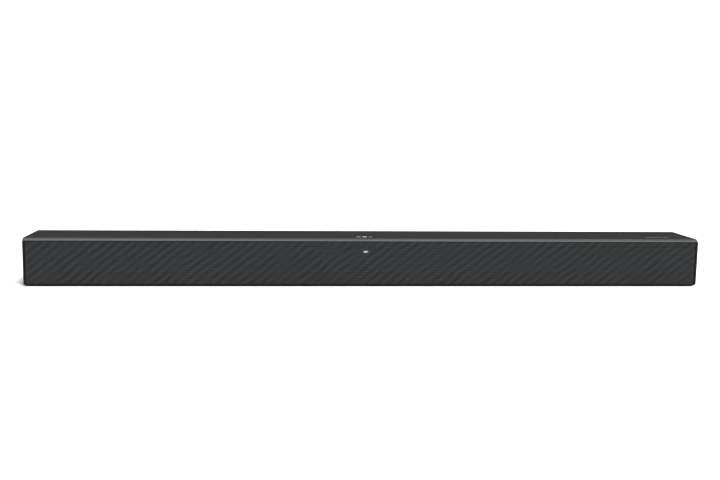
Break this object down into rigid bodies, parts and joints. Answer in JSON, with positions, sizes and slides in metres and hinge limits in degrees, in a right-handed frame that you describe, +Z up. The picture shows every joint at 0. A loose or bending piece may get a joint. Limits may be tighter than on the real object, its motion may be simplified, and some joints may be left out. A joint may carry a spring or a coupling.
{
  "type": "soundbar",
  "caption": "Low, wide soundbar with a perforated steel grille, chamfered lid, top keys, status light, sprung drivers inside and a recessed rear connection bay.",
  "frame": {"origin": "on the surface it rests on, under the middle of the bar", "axes": "+X to the right as seen from the front, along the length; -Y out of the grille; +Z up"},
  "size_m": [0.9, 0.088, 0.064],
  "materials": {
    "cover_plastic": "fine matte texture, dark grey",
    "case_plastic": "fine spark-eroded texture, black",
    "grille_paint": "matte powder coat, dark grey, perforated steel",
    "dust_cloth": "thin black woven scrim",
    "key_plastic": "matte, light grey printed signs",
    "rubber": "moulded black rubber",
    "plated_steel": "nickel or zinc plated",
    "black_steel": "black coated steel",
    "ferrite": "sintered ferrite between plated plates",
    "surround_rubber": "soft black rubber",
    "cone_paper": "coated paper, black",
    "dome_silk": "coated silk, black",
    "board_laminate": "green solder mask on glass laminate",
    "part_plastic": "black nylon or PBT",
    "aluminium": "extruded, plain",
    "winding_tape": "yellow polyester tape on a ferrite core",
    "capacitor_sleeve": "dark blue shrink sleeve",
    "light_lens": "milky white light pipe",
    "receiver_resin": "dark infrared resin",
    "lead_sheath": "black flexible sheath"
  },
  "bodies": {
    "cabinet": {"top_cover": "cover_plastic", "lower_case": "case_plastic", "left_end_cap": "case_plastic", "right_end_cap": "case_plastic", "front_grille": "grille_paint", "grille_cloth": "dust_cloth", "grille_frame": "case_plastic", "front_baffle": "case_plastic", "left_woofer_basket": "black_steel", "left_woofer_magnet": "ferrite", "left_woofer_surround": "surround_rubber", "left_tweeter_body": "black_steel", "right_woofer_basket": "black_steel", "right_woofer_magnet": "ferrite", "right_woofer_surround": "surround_rubber", "right_tweeter_body": "black_steel", "light_pipe": "light_lens", "remote_receiver": "receiver_resin", "light_board": "board_laminate", "volume_down_switch": "part_plastic", "power_switch": "part_plastic", "volume_up_switch": "part_plastic", "key_board": "board_laminate", "hdmi_socket": "plated_steel", "usb_socket": "plated_steel", "optical_socket": "part_plastic", "audio_socket": "part_plastic", "connection_bay": "case_plastic", "mains_inlet": "part_plastic", "power_bay": "case_plastic", "main_board": "board_laminate", "power_board": "board_laminate", "heatsink": "aluminium", "wireless_module": "plated_steel", "transformer": "winding_tape", "bulk_capacitor": "capacitor_sleeve", "left_hanger_plate": "plated_steel", "front_left_foot": "rubber", "rear_left_foot": "rubber", "right_hanger_plate": "plated_steel", "front_right_foot": "rubber", "rear_right_foot": "rubber", "rear_left_screw": "black_steel", "rear_right_screw": "black_steel", "rear_centre_left_screw": "black_steel", "rear_centre_right_screw": "black_steel", "front_centre_left_screw": "black_steel", "front_centre_right_screw": "black_steel", "left_speaker_lead": "lead_sheath", "right_speaker_lead": "lead_sheath", "mains_lead": "lead_sheath", "board_lead": "lead_sheath", "key_lead": "lead_sheath"},
    "volume_down_key": {"volume_down_key": "key_plastic"},
    "power_key": {"power_key": "key_plastic"},
    "volume_up_key": {"volume_up_key": "key_plastic"},
    "left_woofer_cone": {"left_woofer_cone": "cone_paper"},
    "right_woofer_cone": {"right_woofer_cone": "cone_paper"},
    "left_tweeter_dome": {"left_tweeter_dome": "dome_silk"},
    "right_tweeter_dome": {"right_tweeter_dome": "dome_silk"}
  },
  "joints": [
    {"name": "volume_down_press", "type": "slide", "parent": "cabinet", "child": "volume_down_key", "axis": [0, 0, -1], "range_m": [0, 0.0004], "stiffness_N_per_m": 2500},
    {"name": "power_press", "type": "slide", "parent": "cabinet", "child": "power_key", "axis": [0, 0, -1], "range_m": [0, 0.0004], "stiffness_N_per_m": 2500},
    {"name": "volume_up_press", "type": "slide", "parent": "cabinet", "child": "volume_up_key", "axis": [0, 0, -1], "range_m": [0, 0.0004], "stiffness_N_per_m": 2500},
    {"name": "left_woofer_stroke", "type": "slide", "parent": "cabinet", "child": "left_woofer_cone", "axis": [0, -1, 0], "range_m": [-0.003, 0.003], "stiffness_N_per_m": 1200, "deforming": ["left_woofer_surround"]},
    {"name": "left_tweeter_stroke", "type": "slide", "parent": "cabinet", "child": "left_tweeter_dome", "axis": [0, -1, 0], "range_m": [-0.0003, 0.0003], "stiffness_N_per_m": 3000},
    {"name": "right_woofer_stroke", "type": "slide", "parent": "cabinet", "child": "right_woofer_cone", "axis": [0, -1, 0], "range_m": [-0.003, 0.003], "stiffness_N_per_m": 1200, "deforming": ["right_woofer_surround"]},
    {"name": "right_tweeter_stroke", "type": "slide", "parent": "cabinet", "child": "right_tweeter_dome", "axis": [0, -1, 0], "range_m": [-0.0003, 0.0003], "stiffness_N_per_m": 3000}
  ]
}
